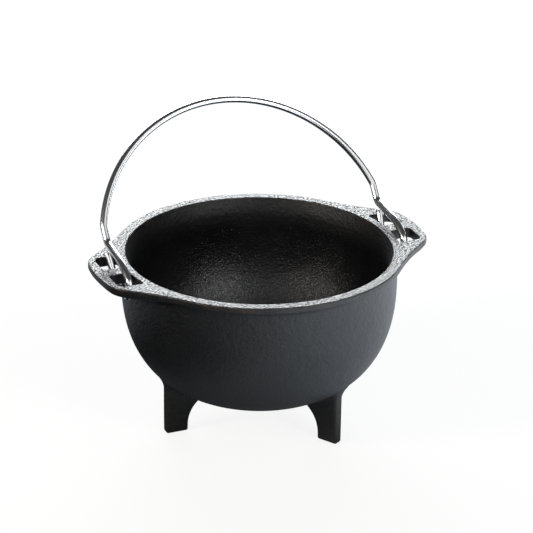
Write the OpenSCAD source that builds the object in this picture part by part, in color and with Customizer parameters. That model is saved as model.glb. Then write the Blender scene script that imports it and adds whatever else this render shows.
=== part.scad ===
// Small three-footed cast iron kettle with a bent wire bail.
// Origin on the table under the middle of the bowl, +Z up, ears along X, bail leaning back to +Y.

/* [Bowl] */
// Height of the flat rim above the table
rim_height = 80; // [74:0.5:95]
// Inside width of the mouth at the rim
mouth_width = 116; // [106:0.5:122]
// Width of the flat rim around the mouth
rim_width = 4.4; // [3.6:0.1:6]
// Height of the rim's upright edge
rim_edge = 2.6; // [2:0.1:4]
// How far the rim stands out from the wall below it
rim_overhang = 3; // [2:0.1:3.4]
// Thickness of the wall and the floor
wall = 4; // [3:0.1:6]
// Height of the bowl's underside above the table
underside_height = 15.6; // [11:0.1:22]
// Depth of the upright part of the wall below the rim
upright_depth = 11; // [8:0.5:20]
// Fullness of the bowl's curve, where 2 is an ellipse
fullness = 2.5; // [2.1:0.05:3]
// Radius of the flat middle of the underside
flat_radius = 10; // [4:0.5:16]

/* [Ears] */
// Thickness of an ear
ear_thickness = 4.4; // [3.6:0.1:5.4]
// Radius of an ear's blunt tip
tip_radius = 70; // [50:1:120]
// Distance of each rounded corner's centre from the ear's middle line
corner_offset = 9.2; // [7:0.1:12]
// Radius of an ear's rounded corners
corner_radius = 13; // [10:0.5:15]
// Radius of the hollow sweep from an ear to the rim
sweep_radius = 137; // [60:1:300]
// How far the lower edge of an ear is drawn in
ear_draft = 1.6; // [0.8:0.1:2.4]

/* [Slots] */
// Distance from the ear's middle line to the far end of a slot
slot_reach = 15.8; // [15.4:0.1:17.5]
// Width of the bar between the two slots of an ear
bar_width = 7; // [5:0.1:7.5]
// Width of a slot, from its inner edge to its outer one
slot_width = 8.9; // [7.5:0.1:12]
// Width of the rim left between the mouth and a slot
slot_land = 2.8; // [2:0.1:3.4]
// Width of metal left outside a slot at the ear's tip
tip_land = 4.8; // [3.5:0.1:6]
// Radius of a slot's outer corners
slot_corner = 3; // [1:0.1:4]

/* [Feet] */
// Distance from the middle to the outer side of a foot
foot_reach = 43.6; // [38:0.1:47]
// Radial length of a foot at the table
foot_length = 10; // [7:0.1:14]
// Thickness of a foot at the table
foot_thickness = 4.2; // [3:0.1:7]
// How much thicker a foot is at the bowl
foot_taper = 1.2; // [0:0.1:3]
// Radius of a foot's rounded bottom edges
foot_edge = 1.2; // [0.5:0.1:1.4]
// Radius of the hollow curve on a foot's inner side
foot_flare = 14; // [10:0.5:20]
// Height of the straight part of a foot's inner side
foot_straight = 3; // [1.5:0.1:6]
// Radius of the fillet between a foot's outer side and the bowl
foot_fillet = 4; // [2:0.1:6]

/* [Bail] */
// Diameter of the bail's wire
wire = 3.2; // [2.6:0.1:3.4]
// Lean of the bail back from upright
lean = 37.3; // [30:0.1:42]
// How much the arch's radius is over half the spread of the legs
arch_swell = 2.5; // [1.8:0.1:3.2]
// Distance from the bar's middle along the arch's plane to the arch's centre
arch_rise = 6.2; // [5:0.1:8]
// Distance of the arch's plane behind the bar's middle
arch_offset = 7.7; // [7.2:0.1:8.5]
// Half the angle that the arch spans
arch_half_angle = 72; // [70:0.5:74]
// Radius of the shoulder between the arch and a leg
shoulder_radius = 8; // [4:0.5:10]
// Distance of the forward bend along the arch's plane
leg_bend = 16.2; // [15.5:0.1:17]
// Inner radius of the forward bend
leg_bend_radius = 2.9; // [2:0.1:3.4]

/* [Hooks] */
// Gap between a leg and the inner edge of its slot
leg_clear = 0.8; // [0.6:0.1:1.2]
// Gap between the wire and the corners of the bar it turns about
bar_clear = 0.3; // [0.2:0.05:0.6]
// Gap between the hook's shank and the slot's edge that stops it
stop_gap = 0.2; // [0.1:0.05:0.4]
// Distance in front of the bar's middle where the wire turns down
drop_start = 3.9; // [3.4:0.1:4.4]
// Radius of that turn
drop_radius = 20; // [12:1:22]
// Room left between the hook's front and the end of the front slot
front_room = 1.9; // [1.6:0.1:2.2]
// Inner radius of the hook's other turns
hook_radius = 3; // [2.4:0.1:3.2]
// Tilt of the run under the bar
under_tilt = 7.8; // [5:0.1:10]
// Distance in front of the bar's middle where that run begins
under_front = 10.5; // [10.2:0.1:11]
// Slope of the hook's shank
shank_slope = 56; // [50:0.5:62]
// Height of the hook's end above the rim
hook_height = 2.2; // [1:0.1:4]
// How far the hook strays sideways
hook_sway = 0.6; // [0:0.05:0.7]

/* [Hidden] */
$fn = 96;
iron = [0.09, 0.09, 0.10];
bright_wire = [0.80, 0.80, 0.82];
overlap = 0.01;
through = 40;

mouth_radius = mouth_width / 2;
rim_radius = mouth_radius + rim_width;
wall_radius = rim_radius - rim_overhang;
curve_top = rim_height - upright_depth;
rim_round = 0.6;
mouth_round = 0.5;
// Share of the upright part over which the hollow opens out to the mouth
flare_share = 0.8;
curve_steps = 20;
fillet_steps = 5;

// Bowl
// Radius and height on the bowl's curve at angle a, set in by a depth from the outer face
function curve_r(a, depth) = flat_radius + (wall_radius - depth - flat_radius) * pow(cos(a), 2 / fullness);
function curve_z(a, depth) = curve_top - (curve_top - underside_height - depth) * pow(sin(a), 2 / fullness);
// Height of the bowl's outer face at a radius
function bowl_z(r) = curve_top - (curve_top - underside_height)
    * pow(1 - pow((r - flat_radius) / (wall_radius - flat_radius), fullness), 1 / fullness);
// Slope of the bowl's outer face at a radius, as an angle
function bowl_slope(r) = atan2(bowl_z(r + 0.5) - bowl_z(r - 0.5), 1);

// Points of the bowl's outer outline from the middle of the underside to the mouth
function outer_points() = concat(
    [[0, underside_height]],
    [for (i = [curve_steps:-1:0]) [curve_r(90 * i / curve_steps, 0), curve_z(90 * i / curve_steps, 0)]],
    [for (i = [0:fillet_steps]) let (a = 90 * i / fillet_steps)
        [rim_radius - rim_overhang * cos(a), rim_height - rim_edge - rim_overhang * (1 - sin(a))]],
    [[rim_radius, rim_height - rim_round], [rim_radius - rim_round, rim_height], [0, rim_height]]);

// Points of the hollow from the middle of the floor to above the mouth
function inner_points() = concat(
    [[0, underside_height + wall]],
    [for (i = [curve_steps:-1:0]) [curve_r(90 * i / curve_steps, wall), curve_z(90 * i / curve_steps, wall)]],
    [for (i = [0:fillet_steps]) let (f = i / fillet_steps)
        [wall_radius - wall + (mouth_radius - mouth_round - wall_radius + wall) * (1 - cos(90 * f)),
         rim_height - upright_depth * flare_share * (1 - f) - mouth_round]],
    [[mouth_radius, rim_height], [mouth_radius, rim_height + through], [0, rim_height + through]]);

module bowl_body() {
    rotate_extrude() polygon(outer_points());
}

module bowl_hollow() {
    rotate_extrude() polygon(inner_points());
}

// Ears and slots
// Neighbouring circles of the outline cross by this much, so they never just touch
bite = 0.1;
slot_inner = mouth_radius + slot_land;
slot_outer = slot_inner + slot_width;
ear_tip = slot_outer + tip_land;
tip_centre = [ear_tip - tip_radius, 0];
tip_to_corner = tip_radius - corner_radius + bite;
corner_x = tip_centre[0] + sqrt(pow(tip_to_corner, 2) - pow(corner_offset, 2));
corner_centre = [corner_x, corner_offset];
corner_far = norm(corner_centre);
// The hollow sweep lies against the rim's circle and the corner's circle from outside
sweep_reach = rim_radius + sweep_radius - bite;
corner_reach = corner_radius + sweep_radius - bite;
sweep_angle = atan2(corner_offset, corner_x)
    + acos((sweep_reach * sweep_reach + corner_far * corner_far - corner_reach * corner_reach)
        / (2 * sweep_reach * corner_far));
sweep_way = [cos(sweep_angle), sin(sweep_angle)];
sweep_centre = sweep_reach * sweep_way;
// Corners of the ear's straight-sided core, hidden by the circles
core_rim = (rim_radius + 1) * sweep_way;
core_corner = corner_centre + (corner_radius + 1) * (sweep_centre - corner_centre) / corner_reach;
core_tip = tip_centre + tip_radius * (corner_centre - tip_centre) / tip_to_corner;

// Outline of the right ear, set in by a margin
module ear_outline(margin) {
    difference() {
        union() {
            polygon([[0, 0], core_rim, core_corner, corner_centre, [corner_x, -corner_offset],
                [core_corner[0], -core_corner[1]], [core_rim[0], -core_rim[1]]]);
            for (side = [-1, 1]) {
                translate([corner_x, side * corner_offset]) circle(corner_radius - margin);
            }
            intersection() {
                translate(tip_centre) circle(tip_radius - margin);
                polygon([tip_centre, core_tip, [2 * ear_tip, core_tip[1]], [2 * ear_tip, -core_tip[1]],
                    [core_tip[0], -core_tip[1]]]);
            }
        }
        for (side = [-1, 1]) {
            translate([sweep_centre[0], side * sweep_centre[1]]) circle(sweep_radius + margin, $fn = 240);
        }
    }
}

// One ear: an upright edge above, and a lower part drawn in towards the underside
module ear() {
    translate([0, 0, rim_height - rim_edge]) {
        linear_extrude(rim_edge) ear_outline(0);
    }
    translate([0, 0, rim_height - ear_thickness]) {
        linear_extrude(ear_thickness - rim_edge + overlap) ear_outline(ear_draft / 2);
    }
}

// A slot on one side of the bar, in the right ear
module slot_outline() {
    difference() {
        union() {
            translate([mouth_radius - wall, bar_width / 2]) {
                square([slot_outer - slot_corner - mouth_radius + wall, slot_reach - bar_width / 2]);
            }
            translate([mouth_radius - wall, bar_width / 2]) {
                square([slot_outer - mouth_radius + wall, slot_reach - bar_width / 2 - slot_corner]);
            }
            translate([slot_outer - slot_corner, slot_reach - slot_corner]) circle(slot_corner);
        }
        circle(slot_inner);
    }
}

module slots() {
    for (turn = [0, 180]) {
        for (side = [0, 1]) {
            rotate([0, 0, turn]) mirror([0, side, 0]) {
                translate([0, 0, rim_height - through / 2]) linear_extrude(through) slot_outline();
            }
        }
    }
}

// Feet
foot_top = bowl_z(foot_reach) + wall / 2;
slope = bowl_slope(foot_reach);
fillet_start = bowl_z(foot_reach) - foot_fillet * (sin(90 - slope) - (1 - cos(90 - slope)) * tan(slope));

// Side view of a foot: radius to the right, height upwards
module foot_profile() {
    inner = foot_reach - foot_length;
    difference() {
        union() {
            translate([inner, foot_edge]) square([foot_length, foot_top - foot_edge]);
            translate([inner + foot_edge, 0]) square([foot_length - 2 * foot_edge, foot_top]);
            translate([inner + foot_edge, foot_edge]) circle(foot_edge);
            translate([foot_reach - foot_edge, foot_edge]) circle(foot_edge);
            translate([inner - foot_flare, foot_straight]) square([foot_flare + foot_edge, foot_top - foot_straight]);
            translate([foot_reach - overlap, fillet_start]) {
                square([foot_fillet * (1 - cos(90 - slope)), foot_top - fillet_start]);
            }
        }
        translate([inner - foot_flare, foot_straight]) circle(foot_flare);
        translate([foot_reach + foot_fillet, fillet_start]) circle(foot_fillet);
        translate([0, foot_top]) square([foot_reach + foot_fillet * 2, foot_flare]);
    }
}

// End view of a foot: it widens slightly towards the bowl
module foot_width() {
    half = foot_thickness / 2;
    top = half + foot_taper / 2;
    polygon([[-half + foot_edge, 0], [half - foot_edge, 0], [half, foot_edge], [top, foot_top],
        [-top, foot_top], [-half, foot_edge]]);
}

module foot() {
    intersection() {
        rotate([90, 0, 0]) translate([0, 0, -through / 2]) linear_extrude(through) foot_profile();
        rotate([90, 0, 90]) linear_extrude(foot_reach + foot_flare) foot_width();
    }
}

module kettle_casting() {
    color(iron) difference() {
        union() {
            bowl_body();
            for (turn = [0, 180]) {
                rotate([0, 0, turn]) ear();
            }
            for (turn = [60, 180, 300]) {
                rotate([0, 0, turn]) foot();
            }
        }
        bowl_hollow();
        slots();
    }
}

// Bail
wire_radius = wire / 2;
bend_swell = 0.03;
bend_reach = 0.3;
pivot = [0, 0, rim_height - ear_thickness / 2];
along = [0, sin(lean), cos(lean)];
behind = [0, cos(lean), -sin(lean)];
sideways = [1, 0, 0];
leg_x = slot_inner + leg_clear + wire_radius;
arch_radius = leg_x + arch_swell;
arch_centre = pivot + arch_offset * behind + arch_rise * along;

// The wire's middle line keeps this far from the line the bail turns about
hook_space = norm([bar_width, ear_thickness]) / 2 + bar_clear + wire_radius;
under_way = [0, cos(under_tilt), sin(under_tilt)];
under_middle = hook_space * [0, sin(under_tilt), -cos(under_tilt)];
// The shank passes the far upper edge of the back slot with the stop's gap
shank_way = [0, cos(shank_slope), sin(shank_slope)];
shank_out = [0, sin(shank_slope), -cos(shank_slope)];
shank_middle = (shank_out * [0, slot_reach, ear_thickness / 2] - wire_radius - stop_gap) * shank_out;
under_back = (shank_middle - under_middle) * shank_out / (under_way * shank_out);
shank_rise = (ear_thickness / 2 + hook_height - shank_middle[2]) / shank_way[2];

// Points that the wire's middle line turns at, on the right side, after the arch
arch_end = arch_centre + arch_radius * (sin(arch_half_angle) * sideways + cos(arch_half_angle) * along);
arch_end_way = cos(arch_half_angle) * sideways - sin(arch_half_angle) * along;
shoulder = arch_end + arch_end_way * (leg_x - arch_end[0]) / arch_end_way[0];
leg = pivot + leg_x * sideways;
bend = leg + arch_offset * behind + leg_bend * along;
over_bar = leg + [hook_sway / 2, -drop_start, hook_space];
front_down = leg + [hook_sway / 2, wire_radius + front_room - slot_reach, 0];
front_under = leg + [-hook_sway / 2, 0, 0] + under_middle - under_front * under_way;
back_under = leg + [-hook_sway, 0, 0] + under_middle + under_back * under_way;
hook_end = leg + [hook_sway, 0, 0] + shank_middle + shank_rise * shank_way;
way_points = [arch_end, shoulder, bend, over_bar, front_down, front_under, back_under, hook_end];
// Radius of the wire's middle line at each turn between the first and the last point
hook_turn = hook_radius + wire_radius;
turn_radii = [shoulder_radius, leg_bend_radius + wire_radius, drop_radius, hook_turn, hook_turn, hook_turn];

function unit(v) = v / norm(v);
function turn_angle(i) = acos(unit(way_points[i] - way_points[i - 1]) * unit(way_points[i + 1] - way_points[i]));
function turn_length(i) = turn_radii[i - 1] * tan(turn_angle(i) / 2);

// Moves what is drawn along +X, with +Y towards the side, onto the way and side given
module placed(origin, way, side) {
    up = cross(way, side);
    multmatrix([[way[0], side[0], up[0], origin[0]], [way[1], side[1], up[1], origin[1]],
        [way[2], side[2], up[2], origin[2]], [0, 0, 0, 1]]) children();
}

// Straight wire between two points: a hair thinner than the bends, and it runs a little into each
module straight_wire(start, finish) {
    way = unit(finish - start);
    placed(start - way * bend_reach, way, unit(cross(cross(way, sideways), way))) {
        rotate([0, 90, 0]) cylinder(h = norm(finish - start) + 2 * bend_reach, r = wire_radius - bend_swell);
    }
}

// Bent wire round the corner at point i
module bent_wire(i) {
    way_in = unit(way_points[i] - way_points[i - 1]);
    way_out = unit(way_points[i + 1] - way_points[i]);
    side = unit(way_out - (way_out * way_in) * way_in);
    placed(way_points[i] - way_in * turn_length(i), way_in, side) {
        translate([0, turn_radii[i - 1], 0]) rotate([0, 0, -90]) {
            rotate_extrude(angle = turn_angle(i)) translate([turn_radii[i - 1], 0]) circle(wire_radius);
        }
    }
}

module bail_side() {
    last = len(way_points) - 1;
    for (i = [1:last - 1]) {
        bent_wire(i);
    }
    for (i = [0:last - 1]) {
        way = unit(way_points[i + 1] - way_points[i]);
        trim_in = i == 0 ? 0 : turn_length(i);
        trim_out = i == last - 1 ? bend_reach : turn_length(i + 1);
        straight_wire(way_points[i] + way * trim_in, way_points[i + 1] - way * trim_out);
    }
}

module bail_handle() {
    color(bright_wire) {
        placed(arch_centre, sideways, along) {
            rotate([0, 0, 90 - arch_half_angle]) {
                rotate_extrude(angle = 2 * arch_half_angle) translate([arch_radius, 0]) circle(wire_radius);
            }
        }
        bail_side();
        mirror([1, 0, 0]) bail_side();
    }
}

kettle_casting();
bail_handle();
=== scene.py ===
"""A small three-footed cast iron kettle with a bent wire bail: its meshes, finishes and stage."""

import math

import bmesh
import bpy
from bpy.props import FloatProperty, FloatVectorProperty, IntProperty, PointerProperty
from mathutils import Matrix, Vector


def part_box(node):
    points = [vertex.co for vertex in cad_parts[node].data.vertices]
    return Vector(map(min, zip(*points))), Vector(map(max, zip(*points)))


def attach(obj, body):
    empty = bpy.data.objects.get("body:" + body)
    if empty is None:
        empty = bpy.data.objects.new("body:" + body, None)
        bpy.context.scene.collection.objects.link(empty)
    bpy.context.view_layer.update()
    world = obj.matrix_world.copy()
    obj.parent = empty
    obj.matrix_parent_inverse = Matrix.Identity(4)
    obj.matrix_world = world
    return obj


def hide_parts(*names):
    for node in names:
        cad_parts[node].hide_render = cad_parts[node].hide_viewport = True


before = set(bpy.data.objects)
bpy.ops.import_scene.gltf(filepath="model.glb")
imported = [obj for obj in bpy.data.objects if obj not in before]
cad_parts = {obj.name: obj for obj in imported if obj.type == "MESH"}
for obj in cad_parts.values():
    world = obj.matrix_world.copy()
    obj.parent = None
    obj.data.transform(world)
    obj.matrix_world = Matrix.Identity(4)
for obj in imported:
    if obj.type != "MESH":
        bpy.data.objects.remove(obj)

bl_info = {
    "name": "Cast iron kettle",
    "version": (1, 0, 0),
    "blender": (4, 5, 0),
    "location": "View3D > Sidebar > Kettle",
    "description": "Models and finishes a footed iron kettle with a wire bail round its fixed frame",
    "category": "Object",
}

MM = 0.001
CASTING = "kettle_casting"
BAIL = "bail_handle"
POT_BODY = "pot"
BAIL_BODY = "bail"
EAR_TIP, RIM_RADIUS, RIM_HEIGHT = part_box(CASTING)[1]
IMAGE_WIDTH = 533
SENSOR_WIDTH = 36.0
# Turn of the painted pool of light that the floor glows with for reflections.
PAINTED_POOL_TURN = math.radians(-30)
MERGE = 0.001 * MM
EAR_START = 4 * MM
FOOT_SINK = 0.5 * MM
FOOT_HEIGHT = 25 * MM
SLOT_END_ROUND = 1.2 * MM


def length(default_mm, name, text):
    """A size in metres, written in millimetres."""
    return FloatProperty(name=name, description=text, default=default_mm * MM, unit="LENGTH", precision=5)


def angle(default_degrees, name, text):
    """An angle in radians, written in degrees."""
    return FloatProperty(name=name, description=text, default=math.radians(default_degrees), subtype="ANGLE")


def colour(default, name, text):
    """A colour that the user may change."""
    return FloatVectorProperty(name=name, description=text, default=default, subtype="COLOR", min=0, max=1)


class BowlSizes(bpy.types.PropertyGroup):
    """Sizes of the bowl, the rim and the ears."""

    mouth_radius: length(58, "Mouth radius", "Inside radius of the mouth at the rim")
    wall: length(4, "Wall", "Thickness of the wall and the floor")
    overhang: length(3, "Overhang", "How far the rim stands out from the wall")
    edge: length(2.6, "Edge", "Height of the rim's upright edge")
    upright: length(11, "Upright depth", "Depth of the straight part of the wall")
    underside: length(15.6, "Underside height", "Height of the bowl's underside above the table")
    flat_radius: length(10, "Flat radius", "Radius of the flat middle of the underside")
    fullness: FloatProperty(name="Fullness", description="Fullness of the bowl's curve", default=2.5)
    rounding: length(0.7, "Rounding", "Radius of the rim's worn edges")
    lower_rounding: length(0.4, "Lower rounding", "Size of the rounding at the rim's lower edge")
    ear_thickness: length(4.4, "Ear thickness", "Thickness of an ear")
    ear_draft: length(1.5, "Ear draft", "How far the lower edge of an ear is drawn in")
    tip_radius: length(70, "Tip radius", "Radius of an ear's blunt tip")
    corner_radius: length(13, "Corner radius", "Radius of an ear's rounded corners")
    corner_offset: length(9.2, "Corner offset", "Distance of a corner's centre from the middle line")
    sweep_radius: length(137, "Sweep radius", "Radius of the hollow sweep from an ear to the rim")
    steps: IntProperty(name="Steps", description="Facets round the bowl", default=288, min=48)


class SlotSizes(bpy.types.PropertyGroup):
    """Sizes of the four slots in the ears."""

    inner_radius: length(60.8, "Inner radius", "Radius of a slot's inner edge about the bowl's middle")
    tip_land: length(4.8, "Tip land", "Metal left outside a slot at the ear's tip")
    bar_width: length(7, "Bar width", "Width of the bar between two slots")
    reach: length(15.8, "Reach", "Distance from the ear's middle line to the far end of a slot")
    corner: length(3, "Corner", "Radius of a slot's outer corners")
    inner_corner: length(1.2, "Inner corner", "Radius of a slot's inner corners")
    rounding: length(0.5, "Rounding", "Radius of a slot's worn edges")


class FootSizes(bpy.types.PropertyGroup):
    """Sizes of the three feet."""

    reach: length(43.6, "Reach", "Distance from the middle to a foot's outer side")
    length: length(10, "Length", "Radial length of a foot at the table")
    thickness: length(4.2, "Thickness", "Thickness of a foot at the table")
    taper: length(1.2, "Taper", "How much thicker a foot is at the bowl")
    edge: length(1.1, "Edge", "Radius of a foot's rounded lower edges")
    corner: length(0.9, "Corner", "Radius of a foot's upright corners")
    flare: length(14, "Flare", "Radius of the hollow curve on the inner side")
    straight: length(3, "Straight", "Height of the straight part of the inner side")
    fillet: length(4, "Fillet", "Radius of the fillet on the outer side")
    side_fillet: length(2, "Side fillet", "Radius of the fillet on the flat sides")


class WireSizes(bpy.types.PropertyGroup):
    """Sizes of the bail's wire and of its hooks."""

    wire: length(3.2, "Wire", "Diameter of the wire")
    lean: angle(37.3, "Lean", "Lean of the bail back from upright")
    leg_x: length(63.2, "Leg distance", "Distance of a leg from the middle plane")
    arch_swell: length(2.5, "Arch swell", "How much the arch's radius is over the leg distance")
    arch_rise: length(6.2, "Arch rise", "Distance along the plane to the arch's centre")
    arch_offset: length(7.7, "Arch offset", "Distance of the arch's plane behind the bar's middle")
    half_angle: angle(72, "Half angle", "Half the angle that the arch spans")
    shoulder_radius: length(8, "Shoulder radius", "Radius of the shoulder between arch and leg")
    leg_bend: length(16.2, "Leg bend", "Distance along the plane from the bar to the leg's forward bend")
    leg_bend_radius: length(2.9, "Leg bend radius", "Inner radius of the leg's forward bend")
    sides: IntProperty(name="Sides", description="Facets round the wire", default=32, min=8)


class HookSizes(bpy.types.PropertyGroup):
    """Sizes of the two hooks that go through the slots and under the bars."""

    bar_clear: length(0.3, "Bar clearance", "Room between a hook and the bar's corners")
    stop_gap: length(0.2, "Stop gap", "Room between a hook and the slot's back edge at rest")
    drop_start: length(3.9, "Drop start", "How far in front of the bar's middle the wire turns down")
    drop_radius: length(20, "Drop radius", "Radius of the turn above the bar")
    front_room: length(1.9, "Front room", "Room between a hook and the slot's front edge")
    bend_radius: length(3, "Bend radius", "Inner radius of a hook's bends")
    under_tilt: angle(7.8, "Under tilt", "Rise of the part under the bar")
    under_front: length(10.5, "Under front", "Length of the part under the bar, in front of its middle")
    shank_slope: angle(56, "Shank slope", "Slope of the hook's end")
    height: length(2.2, "Height", "How far the hook's end stands above the ear")
    sway: length(0.6, "Sway", "How far the hook's end lies out of line")
    end_round: length(0.35, "End round", "Width of the rounding at the wire's cut ends")


class IronLook(bpy.types.PropertyGroup):
    """Colours of the seasoned iron."""

    iron: colour((0.004, 0.004, 0.0045), "Iron", "Seasoned iron")
    iron_grey: colour((0.010, 0.0105, 0.0115), "Worn iron", "Where the seasoning is thin")
    soot: colour((0.012, 0.009, 0.007), "Soot", "Brown-black of the feet and the underside")
    rust: colour((0.060, 0.028, 0.014), "Rust", "Brown bloom on worn edges")


class WireLook(bpy.types.PropertyGroup):
    """Colour of the bright wire."""

    bright: colour((0.80, 0.80, 0.81), "Wire", "Bright drawn wire")


class StageSettings(bpy.types.PropertyGroup):
    """Where the camera stands, where it aims, and its focal length."""

    azimuth: angle(-23.4, "Azimuth", "Turn of the camera about the upright axis")
    elevation: angle(23.75, "Elevation", "Angle of the camera above the rim")
    roll: angle(0.64, "Roll", "Roll of the camera")
    distance: length(1200, "Distance", "Distance from the camera to the rim's middle")
    aim_right: length(3.0686, "Aim right", "How far right of the rim's middle the camera aims")
    aim_up: length(-7.7679, "Aim up", "How far above the rim's middle the camera aims")
    focal_px: FloatProperty(name="Focal length", description="Focal length in pixels", default=2802.2)


class Term:
    """A socket in a shader formula: arithmetic on it adds Math nodes."""

    def __init__(self, shader, socket):
        self.shader = shader
        self.socket = socket

    def maths(self, operation, *values):
        return self.shader.node("Math", {"operation": operation}, *values)

    def __add__(self, other):
        return self.maths("ADD", self, other)

    def __radd__(self, other):
        return self.maths("ADD", other, self)

    def __sub__(self, other):
        return self.maths("SUBTRACT", self, other)

    def __rsub__(self, other):
        return self.maths("SUBTRACT", other, self)

    def __mul__(self, other):
        return self.maths("MULTIPLY", self, other)

    def __rmul__(self, other):
        return self.maths("MULTIPLY", other, self)

    def __truediv__(self, other):
        return self.maths("DIVIDE", self, other)

    def __pow__(self, other):
        return self.maths("POWER", self, other)


class Shader:
    """Builds one node tree, a call for each node."""

    def __init__(self, tree):
        self.tree = tree
        tree.nodes.clear()

    def node(self, kind, settings=None, *values, out=0, **named):
        """Adds a node: its settings first, then its sockets by place or by name. Returns its output."""
        made = self.tree.nodes.new("ShaderNode" + kind)
        for key, value in (settings or {}).items():
            setattr(made, key, value)
        for place, value in enumerate(values):
            self.feed(made.inputs[place], value)
        for key, value in named.items():
            self.feed(made.inputs[key.replace("_", " ")], value)
        return Term(self, made.outputs[out]) if made.outputs else None

    def feed(self, socket, value):
        if isinstance(value, Term):
            self.tree.links.new(value.socket, socket)
        else:
            socket.default_value = value

    def step(self, value, low, high):
        """0 below low and 1 above high, smooth between."""
        settings = {"interpolation_type": "SMOOTHSTEP"}
        return self.node("MapRange", settings, value, low, high, 0.0, 1.0)

    def parts(self, vector):
        """The three parts of a vector."""
        node = self.node("SeparateXYZ", None, vector).socket.node
        return [Term(self, output) for output in node.outputs]

    def maths(self, operation, *values):
        return self.node("Math", {"operation": operation}, *values)

    def noise(self, point, scale, detail=2.0, roughness=0.5):
        return self.node("TexNoise", None, Vector=point, Scale=scale, Detail=detail, Roughness=roughness)

    def mix(self, factor, first, second):
        """A mix of two colours."""
        made = self.tree.nodes.new("ShaderNodeMix")
        made.data_type = "RGBA"
        for place, value in ((0, factor), (6, first), (7, second)):
            if not isinstance(value, Term) and place:
                value = (*value, 1)
            self.feed(made.inputs[place], value)
        return Term(self, made.outputs[2])


def new_shader(name):
    """A new material and the shader that fills it."""
    material = bpy.data.materials.new(name)
    material.use_nodes = True
    return material, Shader(material.node_tree)


def iron_material(look):
    """Seasoned cast iron: black, satin, with a fine pebbled skin, a little brown on the worn rim."""
    material, s = new_shader("seasoned_iron")
    place = s.node("TexCoord", out=3)
    x, y, height = s.parts(place)
    across, along, up = s.parts(s.node("NewGeometry", out=1))

    pebble = s.noise(place, 620.0, 2.0, 0.55)
    grit = s.noise(place, 1900.0, 2.0, 0.6)
    ripple = s.noise(place, 190.0, 2.0, 0.5)
    cloud = s.noise(place, 45.0, 3.0, 0.6)
    bloom = s.noise(place, 170.0, 3.0, 0.65)

    inward = 0.0 - (across * x + along * y)
    low = 1.0 - s.step(height, RIM_HEIGHT - 25 * MM, RIM_HEIGHT - 15 * MM)
    inside = s.maths("MAXIMUM", s.step(inward, 2 * MM, 12 * MM), low * s.step(up, 0.2, 0.5))
    top = s.step(height, RIM_HEIGHT - 1.0 * MM, RIM_HEIGHT - 0.4 * MM) * s.step(up, 0.2, 0.9)
    worn = s.step(bloom, 0.46, 0.68)
    edge = s.step(height, RIM_HEIGHT - 3.2 * MM, RIM_HEIGHT - 0.8 * MM) * s.step(up, 0.98, 0.5)

    base = s.mix(s.step(cloud, 0.35, 0.7) * 0.5, look.iron, look.iron_grey)
    base = s.mix(edge * worn * 0.35, base, look.rust)

    soot = 1.0 - s.step(height, 14 * MM, 36 * MM)
    base = s.mix(soot * 0.7, base, look.soot)

    specks = top * s.step(s.noise(place, 1100.0, 1.0, 0.5), 0.47, 0.38)
    deep = inside * (1.0 - s.step(height, RIM_HEIGHT - 15 * MM, RIM_HEIGHT - 7 * MM))
    glints = deep * s.noise(place, 1500.0, 1.0, 0.5)
    rough = 0.42 + 0.08 * cloud + 0.06 * grit - 0.18 * top - 0.26 * deep + 0.12 * soot + 0.4 * specks
    relief = pebble * (0.6 - 0.2 * deep) + grit * (0.3 + 0.3 * top) + ripple * (0.8 - 0.5 * inside)
    bump = s.node("Bump", None, Strength=0.7, Distance=0.0006, Height=relief + 0.55 * glints - specks)
    shine = 0.9 * top - 0.9 * specks
    iron = s.node(
        "BsdfPrincipled", None, Base_Color=base, Roughness=rough, Normal=bump,
        Coat_Weight=shine, Coat_Roughness=0.15, Coat_Normal=bump,
    )
    s.node("OutputMaterial", None, iron)
    return material


def wire_material(look):
    """Bright drawn stainless wire."""
    material, s = new_shader("bright_wire")
    place = s.node("TexCoord", out=3)
    fine = s.noise(place, 900.0, 2.0, 0.5)
    rough = 0.18 + 0.08 * fine
    bump = s.node("Bump", None, Strength=0.08, Distance=0.0001, Height=fine)
    wire = s.node(
        "BsdfPrincipled", None, Base_Color=(*look.bright, 1), Metallic=1.0, Roughness=rough, Normal=bump
    )
    s.node("OutputMaterial", None, wire)
    return material


def new_piece(name, bm, material, body, *nodes, slot):
    """Makes a bmesh a finished piece that stands for CAD nodes and rides on their body."""
    mesh = bpy.data.meshes.new(name)
    bm.to_mesh(mesh)
    bm.free()
    for face in mesh.polygons:
        face.use_smooth = True
    piece = bpy.data.objects.new(name, mesh)
    bpy.context.scene.collection.objects.link(piece)
    mesh.materials.clear()
    mesh.materials.append(material)
    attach(piece, body)
    if nodes:
        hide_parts(*nodes)
    return piece


def ear_circles(bowl):
    """Centres of the right ear's tip, corner and hollow sweep, and the angles at which they meet."""
    tip = Vector((EAR_TIP - bowl.tip_radius, 0))
    between = bowl.tip_radius - bowl.corner_radius
    corner = Vector((tip.x + math.sqrt(between**2 - bowl.corner_offset**2), bowl.corner_offset))
    far = corner.length
    reach_rim = RIM_RADIUS + bowl.sweep_radius
    reach_corner = bowl.corner_radius + bowl.sweep_radius
    share = (reach_rim**2 + far**2 - reach_corner**2) / (2 * reach_rim * far)
    rim_angle = math.atan2(corner.y, corner.x) + math.acos(share)
    sweep = reach_rim * Vector((math.cos(rim_angle), math.sin(rim_angle)))
    tip_touch = tip + (corner - tip) * (bowl.tip_radius / between)
    corner_touch = corner + (sweep - corner) * (bowl.corner_radius / reach_corner)
    angles = [math.atan2(p.y, p.x) for p in (tip_touch, corner_touch)]
    return tip, corner, sweep, (*angles, rim_angle)


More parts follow.
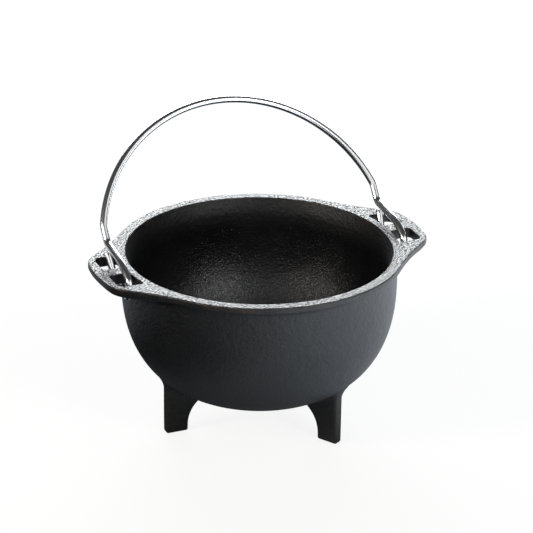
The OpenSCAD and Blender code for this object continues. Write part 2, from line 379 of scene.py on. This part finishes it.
def ear_reach(bowl, circles, angle):
    """Distance from the bowl's middle to the outline of rim and ears, at an angle."""
    tip, corner, sweep, (tip_angle, corner_angle, rim_angle) = circles
    folded = abs(math.atan2(math.sin(angle), abs(math.cos(angle))))
    if folded >= rim_angle:
        return RIM_RADIUS
    way = Vector((math.cos(folded), math.sin(folded)))
    if folded > corner_angle:
        centre, radius, side = sweep, bowl.sweep_radius, -1
    elif folded > tip_angle:
        centre, radius, side = corner, bowl.corner_radius, 1
    else:
        centre, radius, side = tip, bowl.tip_radius, 1
    along = centre.dot(way)
    across = centre.x * way.y - centre.y * way.x
    return along + side * math.sqrt(radius**2 - across**2)


def arc(centre, radius, start, end, steps):
    """Points on an arc, angles in degrees."""
    turns = [math.radians(start + (end - start) * i / steps) for i in range(steps + 1)]
    return [(centre[0] + radius * math.cos(t), centre[1] + radius * math.sin(t)) for t in turns]


def bowl_curve(bowl, depth, steps):
    """The bowl's curve from the flat middle to the upright wall, set in from the outside by a depth."""
    top = RIM_HEIGHT - bowl.upright
    wall_radius = RIM_RADIUS - bowl.overhang
    wide = wall_radius - depth - bowl.flat_radius
    deep = top - bowl.underside - depth
    power = 2 / bowl.fullness
    points = []
    for i in range(steps + 1):
        turn = math.pi / 2 * (steps - i) / steps
        radius = bowl.flat_radius + wide * max(math.cos(turn), 0) ** power
        points.append((radius, top - deep * math.sin(turn) ** power))
    return points


def bowl_profile(bowl):
    """Outline of the bowl as (radius, height, zone). The zone says how an ear moves the point."""
    wall_radius = RIM_RADIUS - bowl.overhang
    inside = wall_radius - bowl.wall
    mouth = bowl.mouth_radius
    r = bowl.rounding
    floor = bowl.underside + bowl.wall
    low_edge = RIM_HEIGHT - bowl.edge
    flare_foot = RIM_HEIGHT - 0.8 * bowl.upright
    points = [(bowl.flat_radius * i / 4, floor, 0) for i in range(4)]
    points += [(x, z, 0) for x, z in bowl_curve(bowl, bowl.wall, 30)]
    flare_rows = 8
    for i in range(1, flare_rows + 1):
        share = i / flare_rows
        out = (mouth - r - inside) * (1 - math.cos(math.pi / 2 * share))
        points.append((inside + out, flare_foot + (RIM_HEIGHT - r - flare_foot) * share, 0))
    points += [(x, z, 0) for x, z in arc((mouth, RIM_HEIGHT - r), r, 180, 90, 5)[1:]]
    low = bowl.lower_rounding
    points.append((mouth + low, RIM_HEIGHT, 0))
    points.append((RIM_RADIUS - r - low, RIM_HEIGHT, 1))
    points += [(x, z, 1) for x, z in arc((RIM_RADIUS - r, RIM_HEIGHT - r), r, 90, 0, 5)]
    points.append((RIM_RADIUS, low_edge + 0.875 * low, 1))
    points.append((RIM_RADIUS - low / 4, low_edge + low / 4, 1))
    points.append((RIM_RADIUS - low, low_edge, 2))
    points.append((RIM_RADIUS - 1.75 * low, low_edge - low / 4, 3))
    fillet = arc((RIM_RADIUS, low_edge - bowl.overhang), bowl.overhang, 110, 180, 7)
    points += [(x, z, 4) for x, z in fillet]
    rows = 5
    foot = low_edge - bowl.overhang
    top = RIM_HEIGHT - bowl.upright
    points += [(wall_radius, foot + (top - foot) * i / rows, 5) for i in range(1, rows)]
    points += [(x, z, 0) for x, z in reversed(bowl_curve(bowl, 0, 36))]
    points += [(bowl.flat_radius * (3 - i) / 4, bowl.underside, 0) for i in range(4)]
    return points


def bowl_with_ears(bowl):
    """The bowl, spun from its outline, with the rim drawn out into two ears."""
    bm = bmesh.new()
    zone = bm.verts.layers.int.new("zone")
    verts = []
    for radius, height, kind in bowl_profile(bowl):
        vert = bm.verts.new((radius, 0, height))
        vert[zone] = kind
        verts.append(vert)
    edges = [bm.edges.new(pair) for pair in zip(verts, verts[1:])]
    bmesh.ops.spin(
        bm, geom=verts + edges, axis=(0, 0, 1), cent=(0, 0, 0),
        angle=math.tau, steps=bowl.steps, use_merge=True,
    )
    bmesh.ops.remove_doubles(bm, verts=bm.verts, dist=MERGE)
    circles = ear_circles(bowl)
    drop = bowl.ear_thickness - bowl.edge
    for vert in bm.verts:
        kind = vert[zone]
        if not kind:
            continue
        x, y, z = vert.co
        radius = math.hypot(x, y)
        angle = math.atan2(y, x)
        out = ear_reach(bowl, circles, angle) - RIM_RADIUS
        share = min(max(out / EAR_START, 0), 1)
        share = share * share * (3 - 2 * share)
        if kind == 1:
            radius += out
        elif kind == 2:
            radius += out - (bowl.ear_draft - bowl.lower_rounding) * share
            z -= (drop - 0.3 * MM) * share
        elif kind == 3:
            radius += max(out - bowl.ear_draft - 0.2 * MM, 0) * share
            z -= drop * share
        elif kind == 4:
            z -= drop * share
        else:
            z -= drop * share * (z - RIM_HEIGHT + bowl.upright) / (bowl.upright - bowl.edge - bowl.overhang)
        vert.co = (radius * math.cos(angle), radius * math.sin(angle), z)
    bmesh.ops.recalc_face_normals(bm, faces=bm.faces)
    return bm


def slot_outline(slot, margin):
    """Outline of the right ear's back slot, grown by a margin."""
    outer = EAR_TIP - slot.tip_land
    inner = slot.inner_radius
    low = slot.bar_width / 2
    high = slot.reach
    big, small = slot.corner, slot.inner_corner
    turn_low = math.asin((low + small) / (inner + small))
    turn_high = math.asin((high - small) / (inner + small))
    points = []
    edge = SLOT_END_ROUND
    points += arc((outer - edge, low + edge), edge + margin, -90, 0, 4)
    points += arc((outer - big, high - big), big + margin, 0, 90, 6)
    corner = ((inner + small) * math.cos(turn_high), high - small)
    points += arc(corner, small + margin, 90, 180 + math.degrees(turn_high), 4)
    for i in range(1, 6):
        t = turn_high + (turn_low - turn_high) * i / 6
        points.append(((inner - margin) * math.cos(t), (inner - margin) * math.sin(t)))
    corner = ((inner + small) * math.cos(turn_low), low + small)
    points += arc(corner, small + margin, 180 + math.degrees(turn_low), 270, 4)
    return points


def slot_cutter(bowl, slot):
    """A cutter for the four slots: upright walls that open out in a round towards both faces."""
    bm = bmesh.new()
    r = slot.rounding
    top = RIM_HEIGHT
    bottom = RIM_HEIGHT - bowl.ear_thickness
    turns = [math.radians(a) for a in (0, 20, 40, 60, 76)]
    levels = [(bottom - 3 * MM, r * 1.3)]
    levels += [(bottom + r - r * math.sin(t), r - r * math.cos(t)) for t in reversed(turns)]
    levels += [(top - r + r * math.sin(t), r - r * math.cos(t)) for t in turns]
    levels += [(top + 3 * MM, r * 1.3)]
    edges = []
    for height, margin in levels:
        ring = [bm.verts.new((x, y, height)) for x, y in slot_outline(slot, margin)]
        loop = [bm.edges.new(pair) for pair in zip(ring, ring[1:] + ring[:1])]
        if edges:
            bmesh.ops.bridge_loops(bm, edges=edges + loop)
        edges = loop
    bmesh.ops.holes_fill(bm, edges=bm.edges, sides=0)
    for axis in ("Y", "X"):
        bmesh.ops.mirror(bm, geom=bm.verts[:] + bm.edges[:] + bm.faces[:], axis=axis, merge_dist=-1)
    bmesh.ops.recalc_face_normals(bm, faces=bm.faces)
    return bm


def underside_height(bowl, radius):
    """Height of the bowl's outer face at a radius."""
    top = RIM_HEIGHT - bowl.upright
    share = max(radius - bowl.flat_radius, 0) / (RIM_RADIUS - bowl.overhang - bowl.flat_radius)
    return top - (top - bowl.underside) * max(1 - share**bowl.fullness, 0) ** (1 / bowl.fullness)


def hollow(radius, distance):
    """How far a fillet stands out at a distance from the face it runs into."""
    gap = radius - min(max(distance, 0), radius)
    return radius - math.sqrt(radius**2 - gap**2)


def foot_outline(half_long, half_wide, corner):
    """A rounded rectangle round the origin, as points with their outward directions."""
    points = []
    for quarter, (sx, sy) in enumerate(((1, 1), (-1, 1), (-1, -1), (1, -1))):
        cx, cy = sx * (half_long - corner), sy * (half_wide - corner)
        for i in range(5):
            t = math.radians(90 * quarter + 22.5 * i)
            points.append((cx + corner * math.cos(t), cy + corner * math.sin(t), math.cos(t), math.sin(t)))
        span = half_long - corner if quarter % 2 == 0 else half_wide - corner
        rows = 6 if quarter % 2 == 0 else 2
        for i in range(1, rows):
            shift = 2 * span * i / rows
            if quarter == 0:
                points.append((cx - shift, half_wide, 0, 1))
            elif quarter == 1:
                points.append((-half_long, cy - shift, -1, 0))
            elif quarter == 2:
                points.append((cx + shift, -half_wide, 0, -1))
            else:
                points.append((half_long, cy + shift, 1, 0))
    return points


def foot_point(bowl, foot, place, share):
    """A point of a foot: place is a point of its outline, share runs from the table to the bowl."""
    x, y, nx, ny = place
    long_share = x / (foot.length / 2)
    middle = foot.reach - foot.length / 2
    height = bowl.underside
    radius = middle + x
    for _ in range(30):
        z = share * height
        above = max(z - foot.straight, 0)
        flare = foot.flare - math.sqrt(max(foot.flare**2 - min(above, foot.flare * 0.985) ** 2, 0))
        gap = underside_height(bowl, radius) - z
        fillet_radius = foot.side_fillet + (foot.fillet - foot.side_fillet) * max(nx, 0)
        fillet = hollow(fillet_radius, gap) if nx > -0.5 else 0
        radius = middle + x - flare * (1 - long_share) / 2 + nx * fillet
        height = underside_height(bowl, radius) + FOOT_SINK
    z = share * height
    grow = foot.taper / 2 * z / FOOT_HEIGHT
    across = y * (1 + grow / (foot.thickness / 2)) + ny * fillet
    inset = hollow(foot.edge, z)
    return radius - nx * inset, across - ny * inset, z


def foot_shape(bowl, foot, angle):
    """One foot: a ring at the table, extruded in steps up to the bowl's skin."""
    bm = bmesh.new()
    outline = foot_outline(foot.length / 2, foot.thickness / 2, foot.corner)
    shares = [0, 0.008, 0.02, 0.035, 0.06] + [0.1 + 0.6 * i / 8 for i in range(8)]
    shares += [0.7 + 0.3 * i / 12 for i in range(13)]
    made = bmesh.ops.create_circle(bm, cap_ends=True, radius=foot.length / 2, segments=len(outline))
    ring = made["verts"]
    edges = [e for e in bm.edges if e.verts[0] in ring and e.verts[1] in ring]
    for vert, place in zip(ring, outline):
        vert.co = foot_point(bowl, foot, place, shares[0])
    bmesh.ops.poke(bm, faces=bm.faces[:])
    count = len(outline)
    order = {vert: i for i, vert in enumerate(ring)}
    for share in shares[1:]:
        grown = bmesh.ops.extrude_edge_only(bm, edges=edges)["geom"]
        fresh = [g for g in grown if isinstance(g, bmesh.types.BMVert)]
        edges = [g for g in grown if isinstance(g, bmesh.types.BMEdge)]
        edges = [e for e in edges if all(v in fresh for v in e.verts)]
        step = {}
        for vert in fresh:
            below = next(e.other_vert(vert) for e in vert.link_edges if e.other_vert(vert) in order)
            step[vert] = order[below]
        for vert, index in step.items():
            vert.co = foot_point(bowl, foot, outline[index % count], share)
        order = step
    bmesh.ops.holes_fill(bm, edges=edges, sides=0)
    bmesh.ops.rotate(bm, verts=bm.verts, cent=(0, 0, 0), matrix=Matrix.Rotation(angle, 3, "Z"))
    bmesh.ops.recalc_face_normals(bm, faces=bm.faces)
    return bm


def joined(bm, others, operation):
    """Unites a bmesh with others, or cuts them out of it."""
    mesh = bpy.data.meshes.new("work")
    bm.to_mesh(mesh)
    bm.free()
    work = bpy.data.objects.new("work", mesh)
    bpy.context.scene.collection.objects.link(work)
    helpers = []
    for other in others:
        tool_mesh = bpy.data.meshes.new("tool")
        other.to_mesh(tool_mesh)
        other.free()
        tool = bpy.data.objects.new("tool", tool_mesh)
        bpy.context.scene.collection.objects.link(tool)
        helpers.append(tool)
        cut = work.modifiers.new("join", "BOOLEAN")
        cut.operation = operation
        cut.solver = "EXACT"
        cut.object = tool
    graph = bpy.context.evaluated_depsgraph_get()
    result = bmesh.new()
    result.from_mesh(work.evaluated_get(graph).to_mesh())
    for thing in [work, *helpers]:
        data = thing.data
        bpy.data.objects.remove(thing)
        bpy.data.meshes.remove(data)
    return result


class KETTLE_OT_casting(bpy.types.Operator):
    """Models the pot: bowl, rim, slotted ears and feet in one iron casting."""

    bl_idname = "kettle.casting"
    bl_label = "Kettle casting"

    def execute(self, context):
        scene = context.scene
        bowl, slot, foot = scene.kettle_bowl, scene.kettle_slot, scene.kettle_foot
        feet = [foot_shape(bowl, foot, math.radians(turn)) for turn in (60, 180, 300)]
        bm = joined(bowl_with_ears(bowl), feet, "UNION")
        bm = joined(bm, [slot_cutter(bowl, slot)], "DIFFERENCE")
        bmesh.ops.remove_doubles(bm, verts=bm.verts, dist=2 * MERGE)
        material = iron_material(scene.kettle_iron)
        piece = new_piece("kettle_pot", bm, material, POT_BODY, CASTING, slot="iron")
        weighted = piece.modifiers.new("even shading", "WEIGHTED_NORMAL")
        weighted.weight = 50
        weighted.keep_sharp = True
        return {"FINISHED"}


def bail_way(wire, hook, slot, bowl):
    """Points that the wire turns at on the right side, after the arch, and the radius of each turn."""
    radius = wire.wire / 2
    pivot = Vector((0, 0, RIM_HEIGHT - bowl.ear_thickness / 2))
    along = Vector((0, math.sin(wire.lean), math.cos(wire.lean)))
    behind = Vector((0, math.cos(wire.lean), -math.sin(wire.lean)))
    sideways = Vector((1, 0, 0))
    arch_radius = wire.leg_x + wire.arch_swell
    arch_centre = pivot + wire.arch_offset * behind + wire.arch_rise * along
    space = math.hypot(slot.bar_width, bowl.ear_thickness) / 2 + hook.bar_clear + radius
    tilt, slope = hook.under_tilt, hook.shank_slope
    under_way = Vector((0, math.cos(tilt), math.sin(tilt)))
    under_middle = space * Vector((0, math.sin(tilt), -math.cos(tilt)))
    shank_way = Vector((0, math.cos(slope), math.sin(slope)))
    shank_out = Vector((0, math.sin(slope), -math.cos(slope)))
    stop_edge = Vector((0, slot.reach, bowl.ear_thickness / 2))
    shank_middle = (shank_out.dot(stop_edge) - radius - hook.stop_gap) * shank_out
    under_back = (shank_middle - under_middle).dot(shank_out) / under_way.dot(shank_out)
    shank_rise = (bowl.ear_thickness / 2 + hook.height - shank_middle.z) / shank_way.z
    sway = hook.sway

    crown = arch_centre + arch_radius * along
    end_side = math.sin(wire.half_angle) * sideways + math.cos(wire.half_angle) * along
    end = arch_centre + arch_radius * end_side
    end_way = math.cos(wire.half_angle) * sideways - math.sin(wire.half_angle) * along
    shoulder = end + end_way * (wire.leg_x - end.x) / end_way.x
    leg = pivot + wire.leg_x * sideways
    points = [
        end,
        shoulder,
        leg + wire.arch_offset * behind + wire.leg_bend * along,
        leg + Vector((sway / 2, -hook.drop_start, space)),
        leg + Vector((sway / 2, radius + hook.front_room - slot.reach, 0)),
        leg + Vector((-sway / 2, 0, 0)) + under_middle - hook.under_front * under_way,
        leg + Vector((-sway, 0, 0)) + under_middle + under_back * under_way,
        leg + Vector((sway, 0, 0)) + shank_middle + shank_rise * shank_way,
    ]
    bend = hook.bend_radius + radius
    radii = [wire.shoulder_radius, wire.leg_bend_radius + radius, hook.drop_radius, bend, bend, bend]
    return crown, arch_centre, points, radii


class KETTLE_OT_bail(bpy.types.Operator):
    """Models the bail: one round wire, swept from the crown of its arch to a hook and mirrored."""

    bl_idname = "kettle.bail"
    bl_label = "Wire bail"

    def execute(self, context):
        scene = context.scene
        wire, hook = scene.kettle_wire, scene.kettle_hook
        crown, centre, points, radii = bail_way(wire, hook, scene.kettle_slot, scene.kettle_bowl)
        bm = bmesh.new()
        sideways = Vector((1, 0, 0))
        place = Matrix.Translation(crown) @ sideways.to_track_quat("Z", "Y").to_matrix().to_4x4()
        bmesh.ops.create_circle(
            bm, cap_ends=False, radius=wire.wire / 2, segments=wire.sides, matrix=place
        )
        ring = bm.verts[:] + bm.edges[:]

        def turn(around, axis, angle, steps):
            nonlocal ring
            made = bmesh.ops.spin(bm, geom=ring, cent=around, axis=axis, angle=angle, steps=steps)
            ring = made["geom_last"]

        def straight(shift, steps):
            nonlocal ring
            for _ in range(steps):
                edges = [g for g in ring if isinstance(g, bmesh.types.BMEdge)]
                made = bmesh.ops.extrude_edge_only(bm, edges=edges)["geom"]
                verts = [g for g in made if isinstance(g, bmesh.types.BMVert)]
                bmesh.ops.translate(bm, verts=verts, vec=shift / steps)
                fresh = set(verts)
                edges = [g for g in made if isinstance(g, bmesh.types.BMEdge)]
                ring = verts + [e for e in edges if fresh.issuperset(e.verts)]

        arch_axis = (crown - centre).cross(sideways).normalized()
        turn(centre, arch_axis, wire.half_angle, 60)
        at = points[0]
        for before, corner, after, radius in zip(points, points[1:], points[2:], radii):
            way_in = (corner - before).normalized()
            way_out = (after - corner).normalized()
            angle = way_in.angle(way_out)
            trim = radius * math.tan(angle / 2)
            straight(corner - way_in * trim - at, 3)
            side = (way_out - way_out.dot(way_in) * way_in).normalized()
            turn(corner - way_in * trim + side * radius, way_in.cross(way_out).normalized(), angle, 10)
            at = corner + way_out * trim
        straight(points[-1] - at, 4)
        edges = [g for g in ring if isinstance(g, bmesh.types.BMEdge)]
        bmesh.ops.edgeloop_fill(bm, edges=edges)
        bmesh.ops.bevel(
            bm, geom=edges, offset=hook.end_round, offset_type="OFFSET",
            segments=3, profile=0.5, affect="EDGES", material=-1,
        )
        half = bm.verts[:] + bm.edges[:] + bm.faces[:]
        bmesh.ops.mirror(bm, geom=half, axis="X", merge_dist=MERGE)
        bmesh.ops.remove_doubles(bm, verts=bm.verts, dist=MERGE)
        bmesh.ops.recalc_face_normals(bm, faces=bm.faces)
        material = wire_material(scene.kettle_wire_look)
        new_piece("wire_bail", bm, material, BAIL_BODY, BAIL, slot="bail_wire")
        return {"FINISHED"}


COOL = (0.95, 0.98, 1.0)
WARM = (1.0, 0.95, 0.85)
WHITE = (1, 1, 1)
LIGHTS = (
    ("back_light", (0.30, 0.86, 0.40), 0.9, (1.0, 0.55), 3.0, COOL),
    ("rim_glints", (0.32, 0.85, 0.41), 0.9, (0.5, 0.12), 15.0, COOL),
    ("front_light", (0.40, -0.70, 0.60), 1.0, (1.2, 0.55), 1.0, WHITE),
    ("front_glints", (0.28, -0.84, 0.50), 1.0, (0.2, 0.2), 16.0, WHITE),
    ("left_glints", (-0.90, -0.08, 0.45), 1.0, (0.2, 0.2), 26.0, WARM),
    ("left_fill", (-0.60, -0.55, 0.58), 1.0, (0.8, 0.5), 1.3, WHITE),
)


def softbox(name, way, distance, size, strength, tint):
    """A square area lamp that looks at the kettle's mouth. Strength is the brightness of its face."""
    lamp = bpy.data.lights.new(name, "AREA")
    lamp.shape = "RECTANGLE"
    lamp.size, lamp.size_y = size
    lamp.energy = strength * math.pi * size[0] * size[1]
    lamp.color = tint
    light = bpy.data.objects.new(name, lamp)
    bpy.context.scene.collection.objects.link(light)
    way = Vector(way).normalized()
    target = Vector((0, 0, RIM_HEIGHT / 2))
    light.location = target + way * distance
    light.rotation_euler = way.to_track_quat("Z", "Y").to_euler()
    return light


class KETTLE_OT_stage(bpy.types.Operator):
    """Sets the pale floor, the white backdrop, the soft light and the camera. Unseen by the camera, the
    floor also glows with a painted pool of light and painted shade under the pot.
    """

    bl_idname = "kettle.stage"
    bl_label = "Stage"

    def execute(self, context):
        scene = context.scene
        stage = scene.kettle_stage
        scene.view_settings.view_transform = "Standard"

        bm = bmesh.new()
        bmesh.ops.create_grid(bm, x_segments=1, y_segments=1, size=3)
        mesh = bpy.data.meshes.new("floor")
        bm.to_mesh(mesh)
        bm.free()
        floor = bpy.data.objects.new("floor", mesh)
        scene.collection.objects.link(floor)
        material, s = new_shader("floor_white_painted_pool")
        path = s.node("LightPath")
        camera_ray = Term(s, path.socket.node.outputs["Is Camera Ray"])
        x, y, _ = s.parts(s.node("TexCoord", out=3))
        # Painted light: for every ray but the camera's, the floor glows in a painted pool of light. The pool
        # is cool-tinted and brighter towards the right front and behind the pot, for the iron and the wire
        # to reflect.
        ahead = x * math.cos(PAINTED_POOL_TURN) + y * math.sin(PAINTED_POOL_TURN)
        share = s.node("MapRange", None, ahead, -90 * MM, 310 * MM, 0.0, 1.0)
        # Painted shade: the floor's glow is dimmed near the pot, a painted contact shadow under it.
        clear_of_painted_shade = s.step((x * x + y * y) ** 0.5, 30 * MM, 80 * MM)
        behind = s.step(y, 60 * MM, 160 * MM)
        painted_light_pool = (share**1.25 * 3.4 + behind * 0.6) * (0.3 + 0.7 * clear_of_painted_shade)
        painted_pool_glow = s.node("Emission", None, (0.84, 0.92, 1.0, 1), painted_light_pool)
        lit = s.node("BsdfDiffuse", None, (0.8, 0.8, 0.8, 1))
        white = s.node("Emission", None, (1, 1, 1, 1), 1.12)
        seen = s.node("MixShader", None, 0.75, lit, white)
        s.node("OutputMaterial", None, s.node("MixShader", None, camera_ray, painted_pool_glow, seen))
        mesh.materials.append(material)

        world = bpy.data.worlds.new("studio")
        scene.world = world
        world.use_nodes = True
        s = Shader(world.node_tree)
        path = s.node("LightPath")
        camera_ray = Term(s, path.socket.node.outputs["Is Camera Ray"])
        soft = s.node("Background", None, (1, 1, 1, 1), 0.05)
        white = s.node("Background", None, (1, 1, 1, 1), 1.0)
        s.node("OutputWorld", None, s.node("MixShader", None, camera_ray, soft, white))

        for light in LIGHTS:
            softbox(*light)

        camera_data = bpy.data.cameras.new("photo_camera")
        camera_data.sensor_width = SENSOR_WIDTH
        camera_data.lens = stage.focal_px * SENSOR_WIDTH / IMAGE_WIDTH
        camera_data.clip_start = 0.05
        camera = bpy.data.objects.new("photo_camera", camera_data)
        scene.collection.objects.link(camera)
        a, e = stage.azimuth, stage.elevation
        back = Vector((math.sin(a) * math.cos(e), -math.cos(a) * math.cos(e), math.sin(e)))
        level = Vector((math.cos(a), math.sin(a), 0))
        rise = back.cross(level)
        right = math.cos(stage.roll) * level + math.sin(stage.roll) * rise
        up = math.cos(stage.roll) * rise - math.sin(stage.roll) * level
        aim = Vector((0, 0, RIM_HEIGHT)) + stage.aim_right * right + stage.aim_up * up
        camera.location = aim + stage.distance * back
        camera.rotation_euler = Matrix((right, up, back)).transposed().to_euler()
        scene.camera = camera
        return {"FINISHED"}


class KETTLE_PT_parts(bpy.types.Panel):
    """Lists the kettle's pieces."""

    bl_idname = "KETTLE_PT_parts"
    bl_label = "Cast iron kettle"
    bl_space_type = "VIEW_3D"
    bl_region_type = "UI"
    bl_category = "Kettle"

    def draw(self, context):
        for name, (_, operators) in SECTIONS.items():
            box = self.layout.box()
            settings = getattr(context.scene, name)
            for key in settings.bl_rna.properties.keys():
                if key not in ("rna_type", "name"):
                    box.prop(settings, key)
            for operator in operators:
                box.operator(operator)


SECTIONS = {
    "kettle_stage": (StageSettings, ["kettle.stage"]),
    "kettle_bowl": (BowlSizes, []),
    "kettle_slot": (SlotSizes, []),
    "kettle_foot": (FootSizes, []),
    "kettle_iron": (IronLook, ["kettle.casting"]),
    "kettle_wire": (WireSizes, []),
    "kettle_hook": (HookSizes, []),
    "kettle_wire_look": (WireLook, ["kettle.bail"]),
}
CLASSES = (
    *(group for group, _ in SECTIONS.values()),
    KETTLE_OT_stage,
    KETTLE_OT_casting,
    KETTLE_OT_bail,
    KETTLE_PT_parts,
)


def register():
    for cls in CLASSES:
        bpy.utils.register_class(cls)
    for name, (group, _) in SECTIONS.items():
        setattr(bpy.types.Scene, name, PointerProperty(type=group))


def unregister():
    for name in SECTIONS:
        delattr(bpy.types.Scene, name)
    for cls in reversed(CLASSES):
        bpy.utils.unregister_class(cls)


def main():
    """Registers the classes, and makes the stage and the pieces."""
    register()
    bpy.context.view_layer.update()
    bpy.ops.kettle.stage()
    bpy.ops.kettle.casting()
    bpy.ops.kettle.bail()


if __name__ == "__main__":
    main()
